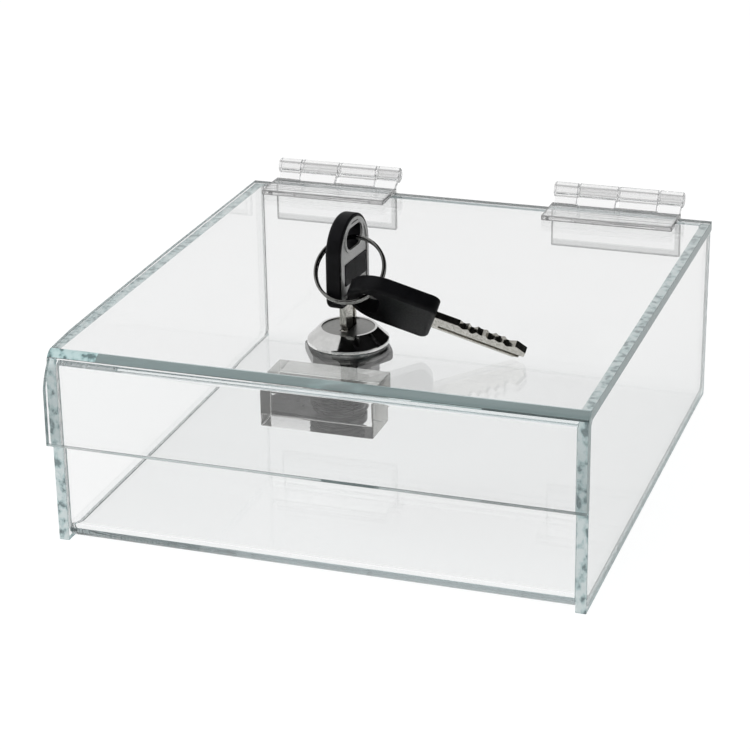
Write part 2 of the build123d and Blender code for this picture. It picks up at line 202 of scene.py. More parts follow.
# Camera, from the places of the box's corners in the photograph
view_yaw = 18.948
view_pitch = 22.204
view_roll = -0.828
view_distance = 733.6 * mm
view_aside = -8.15 * mm
view_up = 28.0 * mm
view_nearest = 10.0 * mm
view_farthest = 100.0
lens_mm = 111.8
sensor_mm = 36.0

# Studio
white_seen = 1.0
white_through = 0.88
white_mirrored = 0.85
world_light = 0.62
ceiling_through = 0.6
ceiling_from = 0.15
ceiling_full = 0.6
floor_half = 4.0
floor_gap = 0.05 * mm
floor_dark = 0.2
floor_light = 0.21
floor_pale = 0.8
floor_seen = 0.86
floor_through = 0.8
floor_mirrored = 0.55
floor_ahead = 0.42
floor_ahead_from = -0.11
floor_ahead_to = -0.09
card_distance = 1.5
card_segments = 180
card_rings = 90
card_left = 46.0
card_right = 155.0
card_low = 4.0
card_high = 86.0
card_dark = 0.002
card_light = 0.006
lamp_place = (-0.9, -0.7, 1.5)
lamp_aim = (0, 0, 0.04)
lamp_size = 1.2
lamp_power = 22.0
light_bounces = 110
see_through_bounces = 32


def deselect():
    """Leaves nothing selected, in object mode."""
    if bpy.context.object and bpy.context.object.mode != "OBJECT":
        bpy.ops.object.mode_set(mode="OBJECT")
    bpy.ops.object.select_all(action="DESELECT")


def named(name, scale=(1, 1, 1)):
    """Names the primitive just added and puts its size and place into its mesh."""
    piece = bpy.context.object
    piece.scale = scale
    piece.name = name
    piece.data.name = name
    bpy.ops.object.transform_apply(location=True, rotation=True, scale=True)
    return piece


def cube_between(name, low, high):
    """A box from its lowest corner to its highest one."""
    deselect()
    low, high = Vector(low), Vector(high)
    bpy.ops.mesh.primitive_cube_add(size=1, location=(low + high) / 2)
    return named(name, high - low)


def plane_between(name, low, high):
    """A flat rectangle at the height of its two corners."""
    deselect()
    low, high = Vector(low), Vector(high)
    size = high - low
    bpy.ops.mesh.primitive_plane_add(size=1, location=(low + high) / 2)
    return named(name, (size.x, size.y, 1))


def pick(piece, kind, test):
    """Selects the edges or faces of a piece whose middle passes a test, and stays in edit mode."""
    bpy.context.view_layer.objects.active = piece
    bpy.ops.object.mode_set(mode="EDIT")
    bpy.ops.mesh.select_mode(type=kind)
    bpy.ops.mesh.select_all(action="DESELECT")
    bpy.ops.object.mode_set(mode="OBJECT")
    mesh = piece.data
    for part in mesh.polygons if kind == "FACE" else mesh.edges:
        points = [mesh.vertices[i].co for i in part.vertices]
        part.select = test(sum(points, Vector()) / len(points), points)
    bpy.ops.object.mode_set(mode="EDIT")


def near(a, b):
    """Whether two places along an axis are the same."""
    return abs(a - b) < same_place


def pull_edge(piece, test, offset):
    """Extrudes the picked edges of a sheet by an offset."""
    pick(piece, "EDGE", test)
    bpy.ops.mesh.extrude_region_move(TRANSFORM_OT_translate={"value": tuple(offset)})


def round_edges(piece, test, radius, segments):
    """Rounds the picked edges."""
    pick(piece, "EDGE", test)
    bpy.ops.mesh.bevel(offset=radius, offset_type="OFFSET", segments=segments, affect="EDGES")
    bpy.ops.object.mode_set(mode="OBJECT")


def across(piece, place, direction):
    """Cuts a piece into two joined lengths at a plane."""
    pick(piece, "FACE", lambda middle, points: True)
    bpy.ops.mesh.bisect(plane_co=place, plane_no=direction)
    bpy.ops.object.mode_set(mode="OBJECT")


def outward(piece):
    """Joins doubled points and turns every face of a closed piece to the outside."""
    bpy.context.view_layer.objects.active = piece
    bpy.ops.object.mode_set(mode="EDIT")
    bpy.ops.mesh.select_all(action="SELECT")
    bpy.ops.mesh.remove_doubles(threshold=weld_distance)
    bpy.ops.mesh.normals_make_consistent(inside=False)
    bpy.ops.object.mode_set(mode="OBJECT")


def with_modifier(piece, kind, **settings):
    """Adds a modifier, sets it and applies it."""
    modifier = piece.modifiers.new(kind.title(), kind)
    for key, value in settings.items():
        setattr(modifier, key, value)
    deselect()
    piece.select_set(True)
    bpy.context.view_layer.objects.active = piece
    bpy.ops.object.modifier_apply(modifier=modifier.name)


def smooth(piece):
    """Shades the rounds smooth and keeps the flats flat."""
    deselect()
    piece.select_set(True)
    bpy.context.view_layer.objects.active = piece
    bpy.ops.object.shade_smooth_by_angle(angle=math.radians(smooth_angle))
    with_modifier(piece, "WEIGHTED_NORMAL", keep_sharp=True, weight=flat_face_weight)


def break_edges(piece, width):
    """Breaks every sharp edge a little, as a polished cut edge has it."""
    with_modifier(
        piece,
        "BEVEL",
        width=width,
        segments=edge_segments,
        limit_method="ANGLE",
        angle_limit=math.radians(sharp_angle),
    )
    smooth(piece)


def combine(piece, other, operation):
    """Joins another closed piece to one, or takes it away, and removes the other."""
    with_modifier(piece, "BOOLEAN", object=other, operation=operation, solver="EXACT")
    bpy.data.objects.remove(other)


def turned(name, centre, rings):
    """A round piece, drawn up from a disc through rings of (radius, height)."""
    deselect()
    radius, height = rings[0]
    place = (centre.x, centre.y, height)
    bpy.ops.mesh.primitive_circle_add(vertices=round_sides, radius=radius, fill_type="NGON", location=place)
    piece = named(name)
    bpy.ops.object.mode_set(mode="EDIT")
    bpy.ops.mesh.select_all(action="SELECT")
    for next_radius, next_height in rings[1:]:
        bpy.ops.mesh.extrude_region_move(TRANSFORM_OT_translate={"value": (0, 0, next_height - height)})
        share = next_radius / radius
        place = (centre.x, centre.y, next_height)
        bpy.ops.transform.resize(value=(share, share, 1), center_override=place)
        radius, height = next_radius, next_height
    bpy.ops.object.mode_set(mode="OBJECT")
    outward(piece)
    return piece


def flats(piece, centre, half_flats, low, high):
    """Cuts two flats along a round piece between two heights."""
    reach = 2 * barrel_radius
    for side in (-1, 1):
        near_x = centre.x + side * half_flats
        far_x = centre.x + side * (half_flats + reach)
        low_corner = (min(near_x, far_x), centre.y - reach, low)
        high_corner = (max(near_x, far_x), centre.y + reach, high)
        combine(piece, cube_between("flat_cutter", low_corner, high_corner), "DIFFERENCE")


# Materials


def feed(tree, socket, value):
    """Links another node's output to a socket, or sets the socket to a plain value."""
    if isinstance(value, bpy.types.NodeSocket):
        tree.links.new(value, socket)
    else:
        socket.default_value = value


def add_node(tree, kind, inputs=None):
    """A new node with some of its inputs fed, by name or number."""
    node = tree.nodes.new(kind)
    for key, value in (inputs or {}).items():
        feed(tree, node.inputs[key], value)
    return node


def new_material(name):
    """An empty node material and its output."""
    made = bpy.data.materials.new(name)
    made.use_nodes = True
    made.node_tree.nodes.clear()
    out = made.node_tree.nodes.new("ShaderNodeOutputMaterial")
    return made, made.node_tree, out


def object_noise(tree, scale, detail, stretch=(1, 1, 1)):
    """Noise over the piece's own coordinates, stretched along an axis where asked."""
    place = add_node(tree, "ShaderNodeTexCoord").outputs["Object"]
    mapping = add_node(tree, "ShaderNodeMapping", {"Scale": stretch, "Vector": place}).outputs["Vector"]
    inputs = {"Scale": scale, "Detail": detail, "Vector": mapping}
    return add_node(tree, "ShaderNodeTexNoise", inputs).outputs["Fac"]


def face_mark(tree, name):
    """How strongly each face carries a mark."""
    node = add_node(tree, "ShaderNodeAttribute")
    node.attribute_name = name
    return node.outputs["Fac"]


def map_range(tree, value, from_low, from_high, to_low, to_high, smoothly=False):
    """Maps a value from one range to another."""
    node = tree.nodes.new("ShaderNodeMapRange")
    if smoothly:
        node.interpolation_type = "SMOOTHSTEP"
    ends = {"From Min": from_low, "From Max": from_high, "To Min": to_low, "To Max": to_high}
    for key, end in ends.items():
        node.inputs[key].default_value = end
    tree.links.new(value, node.inputs["Value"])
    return node.outputs["Result"]


def between(tree, value, low, high):
    """Maps a noise value to a range."""
    return map_range(tree, value, noise_low, noise_high, low, high)


def ramp(tree, value, stops):
    """A colour ramp over a value, as (place, colour) stops, its two ends first."""
    node = add_node(tree, "ShaderNodeValToRGB", {"Fac": value})
    for index, (place, colour) in enumerate(stops):
        stop = node.color_ramp.elements[index] if index < 2 else node.color_ramp.elements.new(place)
        stop.position = place
        stop.color = (*colour, 1)
    return node.outputs["Color"]


def grey_stops(dark, light):
    """Ramp stops from one grey to another over the range of noise."""
    return [(noise_low, (dark,) * 3), (noise_high, (light,) * 3)]


def worked_out(tree, operation, values, clamp=False):
    """A sum, product or greatest of plain values or other nodes' outputs."""
    node = tree.nodes.new("ShaderNodeMath")
    node.operation = operation
    node.use_clamp = clamp
    for number, value in enumerate(values):
        feed(tree, node.inputs[number], value)
    return node.outputs[0]


def mixed_colour(tree, factor, first, second, blend="MIX"):
    """Two colours mixed or multiplied."""
    node = tree.nodes.new("ShaderNodeMix")
    node.data_type = "RGBA"
    node.blend_type = blend
    for key, value in {"Factor": factor, "A": first, "B": second}.items():
        feed(tree, node.inputs[key], value)
    return node.outputs["Result"]


def mixed_shader(tree, factor, first, second):
    """The first shader where the factor is 0, the second where it is 1."""
    return add_node(tree, "ShaderNodeMixShader", {0: factor, 1: first, 2: second}).outputs[0]


def bump(tree, value, strength, distance):
    """A bump from a value."""
    inputs = {"Strength": strength, "Distance": distance, "Height": value}
    return add_node(tree, "ShaderNodeBump", inputs).outputs["Normal"]


def clear_plastic(name, tint, rough, absorbs, density, shadow, dim, streaks=0):
    """See-through plastic: wipe marks, mottled saw marks on cut faces whose dark teal is painted shade, and
    painted shade on the faces marked for it.
    """
    made, tree, out = new_material(name)
    sawn_and_shaded_share = face_mark(tree, "sawn_and_shaded_face")
    painted_shade_share = face_mark(tree, "painted_shade_face")
    # Saw marks: real frost, roughness and relief, with a mottled colour whose dark teal is painted shade
    saw_mark_and_shade_colour = ramp(tree, object_noise(tree, *saw_grain), saw_mark_and_shade_stops)
    surface = mixed_colour(tree, sawn_and_shaded_share, (*tint, 1), saw_mark_and_shade_colour)
    # Painted shade: marked faces turn dim, then near black, and lose clearness
    painted_shade_colour = ramp(tree, painted_shade_share, [(0, untoned), (1, edge_black), (dim_place, dim)])
    clear = worked_out(tree, "SUBTRACT", (1, painted_shade_share))
    polish = between(tree, object_noise(tree, *wipe_marks), 0, rough)
    sawn_relief = worked_out(tree, "MULTIPLY", (sawn_and_shaded_share, object_noise(tree, *saw_relief)))
    relief = worked_out(tree, "MULTIPLY_ADD", (object_noise(tree, *drawn_streaks), streaks, sawn_relief))
    plastic = {
        "IOR": acrylic_ior,
        "Base Color": mixed_colour(tree, 1, surface, painted_shade_colour, "MULTIPLY"),
        "Transmission Weight": worked_out(tree, "MULTIPLY_ADD", (sawn_and_shaded_share, -frost, clear), clamp=True),
        "Roughness": worked_out(tree, "MULTIPLY_ADD", (sawn_and_shaded_share, sawn_roughness, polish)),
        "Normal": bump(tree, relief, relief_strength, relief_depth),
    }
    shader = add_node(tree, "ShaderNodeBsdfPrincipled", plastic).outputs["BSDF"]
    veil = add_node(tree, "ShaderNodeBsdfTransparent", {"Color": (*shadow, 1)}).outputs["BSDF"]
    shadow_ray = add_node(tree, "ShaderNodeLightPath").outputs["Is Shadow Ray"]
    tree.links.new(mixed_shader(tree, shadow_ray, shader, veil), out.inputs["Surface"])
    inside = {"Color": (*absorbs, 1), "Density": density}
    volume = add_node(tree, "ShaderNodeVolumeAbsorption", inside).outputs["Volume"]
    tree.links.new(volume, out.inputs["Volume"])
    return made


def opaque(name, base, tones, rough, grain, dent, depth, tone_noise=None):
    """An opaque finish. Its grain sets polish and relief, and its tone unless that has its own noise."""
    made, tree, out = new_material(name)
    grain_value = object_noise(tree, *grain)
    tone_value = object_noise(tree, *tone_noise) if tone_noise else grain_value
    dark, light = tones
    inputs = {
        **base,
        "Base Color": ramp(tree, tone_value, [(tone_low, dark), (tone_high, light)]),
        "Roughness": between(tree, grain_value, *rough),
        "Normal": bump(tree, grain_value, dent, depth),
    }
    shader = add_node(tree, "ShaderNodeBsdfPrincipled", inputs).outputs["BSDF"]
    tree.links.new(shader, out.inputs["Surface"])
    return made


def metal(name, tones, rough, scale, stretch=(1, 1, 1), dent=metal_dent):
    """Metal whose tone and polish vary with its grain."""
    grain = (scale, metal_detail, stretch)
    return opaque(name, {"Metallic": 1}, tones, rough, grain, dent, metal_depth)


def moulded(name, tones, rough, scale):
    """Opaque moulded plastic with a fine spark-eroded grain."""
    base = {"IOR": moulded_ior, "Specular IOR Level": moulded_specular}
    grain = (scale, moulded_detail)
    tone_noise = (scale / moulded_tone_spread, moulded_tone_detail)
    return opaque(name, base, tones, rough, grain, moulded_dent, moulded_depth, tone_noise)


acrylic = clear_plastic(
    "clear_acrylic",
    tint=(1, 1, 1),
    rough=0.02,
    absorbs=(0.42, 0.62, 0.65),
    density=3,
    shadow=faint_shade,
    dim=teal,
)
block_plastic = clear_plastic(
    "block_acrylic",
    tint=(1, 1, 1),
    rough=0.02,
    absorbs=(0.6, 0.6, 0.54),
    density=4,
    shadow=faint_shade,
    dim=olive,
)
hinge_plastic = clear_plastic(
    "clear_hinge",
    tint=(0.99, 0.99, 0.99),
    rough=0.05,
    absorbs=(0.5, 0.5, 0.52),
    density=6,
    shadow=hinge_shade,
    dim=grey,
    streaks=0.2,
)
pin_plastic = clear_plastic(
    "hinge_pin",
    tint=(0.98, 0.98, 0.98),
    rough=0.1,
    absorbs=(0.5, 0.5, 0.52),
    density=12,
    shadow=hinge_shade,
    dim=grey,
)
chrome = metal(
    "chrome",
    tones=((0.78, 0.78, 0.77), (0.88, 0.88, 0.87)),
    rough=(0.04, 0.1),
    scale=300,
)
zinc = metal(
    "zinc_plate",
    tones=((0.01, 0.01, 0.01), (0.07, 0.07, 0.068)),
    rough=(0.25, 0.4),
    scale=220,
    stretch=(1, 1, 3),
    dent=0.2,
)
plug_metal = metal(
    "plug_metal",
    tones=((0.3, 0.3, 0.29), (0.38, 0.38, 0.37)),
    rough=(0.3, 0.42),
    scale=900,
    dent=0.15,
)
brass = metal(
    "wafer_brass",
    tones=((0.62, 0.45, 0.2), (0.75, 0.57, 0.28)),
    rough=(0.2, 0.35),
    scale=600,
)
spring_steel = metal(
    "spring_steel",
    tones=((0.5, 0.5, 0.5), (0.65, 0.65, 0.65)),
    rough=(0.2, 0.3),
    scale=900,
)
key_plastic = moulded(
    "key_plastic",
    tones=((0.002, 0.002, 0.0025), (0.005, 0.005, 0.006)),
    rough=(0.4, 0.6),
    scale=2500,
)
plate_metal = metal(
    "key_plate_metal",
    tones=((0.55, 0.55, 0.54), (0.7, 0.7, 0.69)),
    rough=(0.45, 0.6),
    scale=1200,
    stretch=(1, 1, 4),
    dent=0.3,
)
key_steel = metal(
    "key_steel",
    tones=((0.4, 0.385, 0.35), (0.6, 0.585, 0.54)),
    rough=(0.12, 0.25),
    scale=700,
    stretch=(4, 1, 1),
    dent=0.1,
)
ring_steel = metal(
    "ring_steel",
    tones=((0.2, 0.2, 0.19), (0.32, 0.32, 0.31)),
    rough=(0.06, 0.14),
    scale=500,
)

finish_of = {
    "clear_acrylic": acrylic,
    "clear_hinge": hinge_plastic,
    "hinge_pin": pin_plastic,
    "chrome": chrome,
    "zinc_plate": zinc,
    "plug_metal": plug_metal,
    "wafer_brass": brass,
    "spring_steel": spring_steel,
    "key_plastic": key_plastic,
    "key_plate_metal": plate_metal,
    "key_steel": key_steel,
    "ring_steel": ring_steel,
}


def finish_nodes():
    """Gives every carried-over solid its finish, by the material slot that the record names for it."""
    for entry in frame["record"]["subparts"]:
        mesh = frame["nodes"][entry["node"]].data
        mesh.materials.clear()
        mesh.materials.append(finish_of[entry["material_slot"]])


def mark_faces(piece, name, share):
    """Marks how strongly each face shows its saw marks or its painted shade, from its middle and normal."""
    marks = piece.data.attributes.new(name, "FLOAT", "FACE")
    for face in piece.data.polygons:
        marks.data[face.index].value = share(face.center, face.normal)


def on_edge(normal):
    """Whether a face is the narrow break of an edge at the side of a sheet."""
    return edge_normal < abs(normal.x) < 1 - edge_normal / 2


def dress(piece, body, slot, *nodes):
    """Puts a new piece on its body, with its finish, in place of the solids it stands for."""
    piece.data.materials.clear()
    piece.data.materials.append(finish_of[slot])
    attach(piece, body)
    if nodes:
        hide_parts(*nodes)


# Box


def tray():
    """Front wall, floor and back wall, one sheet bent twice."""
    low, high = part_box("tray_sheet")
    piece = plane_between("tray", (low.x, low.y, 0), (high.x, high.y, 0))
    front_top = high.z - front_wall_drop
    floor_middle = (low.y + high.y) / 2

    def floor_bend(middle, points):
        return all(near(point.z, 0) for point in points) and not near(middle.y, floor_middle)

    pull_edge(piece, lambda middle, points: near(middle.y, low.y), (0, 0, front_top))
    pull_edge(piece, lambda middle, points: near(middle.y, high.y) and near(middle.z, 0), (0, 0, high.z))
    round_edges(piece, floor_bend, floor_bend_radius, bend_segments)
    with_modifier(piece, "SOLIDIFY", thickness=sheet, offset=1, use_even_offset=True)
    outward(piece)
    for height in (shaded_seam_width, sheet - shaded_seam_width):
        across(piece, (0, 0, height), (0, 0, 1))
    for place in (high.y - shaded_seam_width, high.y - sheet + shaded_seam_width):
        across(piece, (0, place, 0), (0, 1, 0))
    round_edges(
        piece,
        lambda middle, points: near(middle.z, front_top) and near(middle.y, low.y),
        front_wall_edge_break,
        edge_segments,
    )
    break_edges(piece, edge_break)

    # Painted shade: dark lines along the floor's and back wall's joints with the end panels, and a lighter
    # tone on the front wall's edge breaks
    def tray_shade(middle, normal):
        if abs(normal.x) < edge_normal:
            return 0
        if middle.z < sheet + edge_break:
            rim = min(middle.z, sheet - middle.z)
        elif middle.y > 0:
            rim = min(high.y - middle.y, middle.y - high.y + sheet)
        else:
            return side_edge_shade if on_edge(normal) else 0
        return joint_and_edge_shade if rim < shaded_seam_width else 0

    # The end faces take the saw marks, whose dark teal colour is painted shade
    mark_faces(piece, "sawn_and_shaded_face", lambda middle, normal: saw_mark_and_shade_share if abs(normal.x) > cut_normal else 0)
    mark_faces(piece, "painted_shade_face", tray_shade)
    dress(piece, "case", "clear_acrylic", "tray_sheet")


def side_panel(side):
    """A flat end panel, its front top corner rounded to clear the bend of the lid."""
    node = f"side_panel_{side}"
    low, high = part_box(node)
    piece = cube_between(f"end_panel_{side}", low, high)
    round_edges(
        piece,
        lambda middle, points: near(middle.y, low.y) and near(middle.z, high.z),
        panel_corner,
        bend_segments,
    )
    break_edges(piece, edge_break)
    # The edge faces take the saw marks, whose dark teal colour is painted shade; the bottom faces take
    # painted shade
    mark_faces(piece, "sawn_and_shaded_face", lambda middle, normal: saw_mark_and_shade_share if abs(normal.x) < 1 - cut_normal else 0)
    mark_faces(piece, "painted_shade_face", lambda middle, normal: bend_and_base_shade if middle.z < edge_break else 0)
    dress(piece, "case", "clear_acrylic", node)


def catch_block():
    """The thick clear block behind the front wall."""
    low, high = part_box("catch_block")
    piece = cube_between("thick_block", low, high)
    break_edges(piece, block_edge_break)

    # Painted shade on the block's left end and on its top
    def tone(middle, normal):
        if normal.x < -cut_normal:
            return block_end_shade
        return block_top_shade if normal.z > cut_normal else 0

    mark_faces(piece, "painted_shade_face", tone)
    dress(piece, "case", "clear_acrylic", "catch_block")
    piece.data.materials[0] = block_plastic


def neck(behind, below):
    """How far the lid's left end is drawn in, from the distance to its front and to its top."""
    if below > lid_bend_radius:
        share = max(0, 1 - (below - lid_bend_radius) / neck_reach)
        return neck_in * share * share
    share = math.exp(-(behind / neck_reach) ** 2)
    return (neck_in - neck_long) * share + neck_long * max(0, 1 - behind / neck_long_reach)


def lid():
    """Top and front flange, one sheet bent once, with the hole for the lock."""
    low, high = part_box("lid_sheet")
    piece = plane_between("lid_cover", (low.x, low.y, high.z), (high.x, high.y, high.z))
    pull_edge(piece, lambda middle, points: near(middle.y, low.y), (0, 0, -flange_height))
    round_edges(
        piece,
        lambda middle, points: near(middle.y, low.y) and near(middle.z, high.z),
        lid_bend_radius,
        bend_segments,
    )
    for share in neck_cut_shares:
        across(piece, (0, low.y + share * neck_long_reach, 0), (0, 1, 0))
        across(piece, (0, 0, high.z - share * neck_reach), (0, 0, 1))
    across(piece, (low.x + mottled_bend_length, 0, 0), (1, 0, 0))
    for step in range(len(bend_line_shades)):
        across(piece, (bend_line_start + step * bend_line_step, 0, 0), (1, 0, 0))
    with_modifier(piece, "SOLIDIFY", thickness=sheet, offset=-1, use_even_offset=True)
    outward(piece)
    under, over = high.z - 2 * sheet, high.z + sheet
    cutter = turned("hole_cutter", lock_place, [(lock_hole_radius, under), (lock_hole_radius, over)])
    flats(cutter, lock_place, lock_hole_half_flats, under - sheet, over + sheet)
    combine(piece, cutter, "DIFFERENCE")
    break_edges(piece, edge_break)
    for point in piece.data.vertices:
        if point.co.x < low.x + sheet:
            point.co.x += neck(point.co.y - low.y, high.z - point.co.z)

    def outside_bend(middle, normal):
        behind, below = middle.y - low.y, high.z - middle.z
        return max(behind, below) < lid_bend_radius and normal.y < -bend_normal and normal.z > cut_normal

    # Saw marks, whose dark teal colour is painted shade, on the side faces and on the outside of the bend
    # near the left end
    def saw_marks_and_shade(middle, normal):
        if outside_bend(middle, normal) and middle.x < low.x + mottled_bend_length:
            return saw_mark_and_shade_share
        return lid_side_share if abs(normal.x) > cut_normal else 0

    # Painted shade: the flange's bottom edge darker towards the right, the back edge, the sides, the outside
    # of the bend, and lines inside the bend darker in steps towards the right
    def tone(middle, normal):
        if near(middle.z, low.z):
            rightwards = (middle.x - low.x) / (high.x - low.x)
            return joint_and_edge_shade * (flange_left_share + (1 - flange_left_share) * rightwards)
        if middle.y > high.y - edge_break:
            return joint_and_edge_shade
        if abs(normal.x) > cut_normal:
            return side_edge_shade
        if outside_bend(middle, normal):
            return bend_and_base_shade
        inside_bend = normal.y > edge_normal and normal.z < -edge_normal and high.z - middle.z < 2 * sheet
        step = math.floor((middle.x - bend_line_start) / bend_line_step)
        return bend_line_shades[min(step, len(bend_line_shades) - 1)] if inside_bend and step >= 0 else 0

    mark_faces(piece, "sawn_and_shaded_face", saw_marks_and_shade)
    mark_faces(piece, "painted_shade_face", tone)
    dress(piece, "lid", "clear_acrylic", "lid_sheet")


# Lock


def lock_body():
    """Bezel and threaded barrel, bored for the plug."""
    low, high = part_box("lock_housing")
    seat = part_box("lid_sheet")[1].z + bezel_gap
    rings = [(barrel_radius - thread_depth, low.z)]
    height = low.z + thread_pitch / 4
    while height < seat - sheet - thread_pitch:
        rings.append((barrel_radius - thread_depth, height))
        rings.append((barrel_radius, height + thread_pitch / 2))
        height += thread_pitch
    rings.append((barrel_radius, seat))
    barrel = turned("lock_barrel", lock_place, rings)
    flats(barrel, lock_place, barrel_half_flats, low.z - sheet, seat - edge_break)
    rim_top = seat + bezel_rim
    profile = [
        (bezel_radius - bezel_round, seat),
        (bezel_radius, seat + bezel_round),
        (bezel_radius, rim_top - bezel_round),
        (bezel_radius - bezel_round / 2, rim_top),
        (bezel_face_radius, high.z - bezel_round / 2),
        (bezel_face_radius - bezel_round / 2, high.z),
    ]
    bezel = turned("lock_body", lock_place, profile)
    combine(bezel, barrel, "UNION")
    through = [(bore_radius, low.z - sheet), (bore_radius, high.z + sheet)]
    combine(bezel, turned("bore_cutter", lock_place, through), "DIFFERENCE")
    mouth = [(face_bore_radius, high.z - face_bore_depth), (face_bore_radius, high.z + sheet)]
    combine(bezel, turned("face_cutter", lock_place, mouth), "DIFFERENCE")
    smooth(bezel)
    dress(bezel, "lid", "chrome", "lock_housing")
    bezel.data.materials.append(zinc)
    for face in bezel.data.polygons:
        face.material_index = 1 if face.center.z < seat - edge_break else 0


def key_badge():
    """A plain dark badge in the plate of the key in the lock."""
    piece = cube_between("key_badge", badge_low, badge_high)
    break_edges(piece, badge_edge)
    spin = Matrix.Rotation(math.radians(lock_turn), 4, "Z")
    piece.data.transform(Matrix.Translation(lock_place) @ spin)
    dress(piece, "key", "key_plastic")


# Hinges


def rod_along(name, low, high, axis, radius):
    """A round rod along X between two places."""
    deselect()
    bpy.ops.mesh.primitive_cylinder_add(
        vertices=knuckle_sides,
        radius=radius,
        depth=high - low,
        location=((low + high) / 2, *axis),
        rotation=(0, math.pi / 2, 0),
    )
    return named(name)


def arm_along(name, low, high, root, axis):
    """The arm between the root of a leaf and a knuckle."""
    deselect()
    run, rise = axis[0] - root[0], axis[1] - root[1]
    place = ((low + high) / 2, (axis[0] + root[0]) / 2, (axis[1] + root[1]) / 2)
    bpy.ops.mesh.primitive_cube_add(size=1, location=place, rotation=(math.atan2(rise, run), 0, 0))
    return named(name, (high - low, math.hypot(run, rise), hinge_arm))


def hinge_leaf_piece(node, body, centre, low, high, root, knuckles, band):
    """One clear leaf with its arms and its own knuckles of the four, bored for the pin."""
    axis = (hinge_axis_y, hinge_axis_z)
    left = centre - hinge_width / 2
    right = left + hinge_width
    piece = cube_between(node.replace("hinge", "clear"), (left, *low), (right, *high))
    across(piece, (0, 0, low[1] + hinge_low_band), (0, 0, 1))
    across(piece, (right - hinge_end_band, 0, 0), (1, 0, 0))
    break_edges(piece, hinge_lip)
    inner = (hinge_width - 2 * hinge_end_knuckle) / 2
    lengths = (hinge_end_knuckle, inner, inner, hinge_end_knuckle)
    last = len(lengths) - 1
    for number in knuckles:
        start = left + sum(lengths[:number])
        knuckle_low = start + (hinge_gap / 2 if number > 0 else 0)
        knuckle_high = start + lengths[number] - (hinge_gap / 2 if number < last else 0)
        knuckle = rod_along("knuckle", knuckle_low, knuckle_high, axis, hinge_knuckle)
        break_edges(knuckle, hinge_lip)
        arm = arm_along("arm", knuckle_low + hinge_lip, knuckle_high - hinge_lip, root, axis)
        combine(piece, arm, "UNION")
        combine(piece, knuckle, "UNION")
    pin = rod_along("pin_cutter", left - sheet, right + sheet, axis, hinge_bore)
    combine(piece, pin, "DIFFERENCE")
    outward(piece)
    smooth(piece)

    # Painted shade: grey on the breaks of the plate's edges and on the band that the leaf's test picks
    def tone(middle, normal):
        on_plate = low[0] < middle.y < high[0] and low[1] < middle.z < high[1]
        if on_plate and max(abs(share) for share in normal) < hinge_flat_normal:
            return hinge_line_shade
        return hinge_band_shade if band(middle, normal) else 0

    mark_faces(piece, "painted_shade_face", tone)
    dress(piece, body, "clear_hinge", node)


def hinge_leaves(side):
    """Both leaves of one hinge: one on the back wall, one on the lid."""
    centre = hinge_centres[side]
    low = (back_face + glue_line, hinge_axis_z - hinge_body_leaf_reach)
    high = (low[0] + hinge_leaf, lid_top - hinge_lip)
    root = ((low[0] + high[0]) / 2, high[1] - hinge_arm_root)
    node = f"hinge_{side}_body_leaf"
    band_top = low[1] + hinge_low_band
    band_side = centre + hinge_width / 2 - hinge_end_band
    side_top = high[1] - hinge_lip

    def shaded(middle, normal):
        return middle.z < band_top or middle.x > band_side and middle.z < side_top

    def front_end(middle, normal):
        return normal.y < -hinge_end_normal

    hinge_leaf_piece(node, "case", centre, low, high, root, body_leaf_knuckles, shaded)
    low = (hinge_axis_y - hinge_lid_leaf_reach, lid_top + glue_line)
    high = (back_face, low[1] + hinge_leaf)
    root = (high[0] - hinge_arm_root, (low[1] + high[1]) / 2)
    node = f"hinge_{side}_lid_leaf"
    hinge_leaf_piece(node, "lid", centre, low, high, root, lid_leaf_knuckles, front_end)


# Studio


def studio_world():
    """White seen directly, a white sweep with a dimmer ceiling seen in plastic and metal, and even light."""
    world = bpy.data.worlds.new("studio")
    bpy.context.scene.world = world
    world.use_nodes = True
    tree = world.node_tree
    tree.nodes.clear()
    out = tree.nodes.new("ShaderNodeOutputWorld")
    rays = add_node(tree, "ShaderNodeLightPath").outputs
    place = add_node(tree, "ShaderNodeTexCoord").outputs["Generated"]
    height = add_node(tree, "ShaderNodeSeparateXYZ", {"Vector": place}).outputs["Z"]

    def background(strength):
        return add_node(tree, "ShaderNodeBackground", {"Strength": strength}).outputs[0]

    sweep = (ceiling_from, ceiling_full, white_through, ceiling_through)
    through = background(map_range(tree, height, *sweep, smoothly=True))
    lit = mixed_shader(tree, rays["Is Glossy Ray"], background(world_light), background(white_mirrored))
    lit = mixed_shader(tree, rays["Is Transmission Ray"], lit, through)
    lit = mixed_shader(tree, rays["Is Camera Ray"], lit, background(white_seen))
    tree.links.new(lit, out.inputs["Surface"])


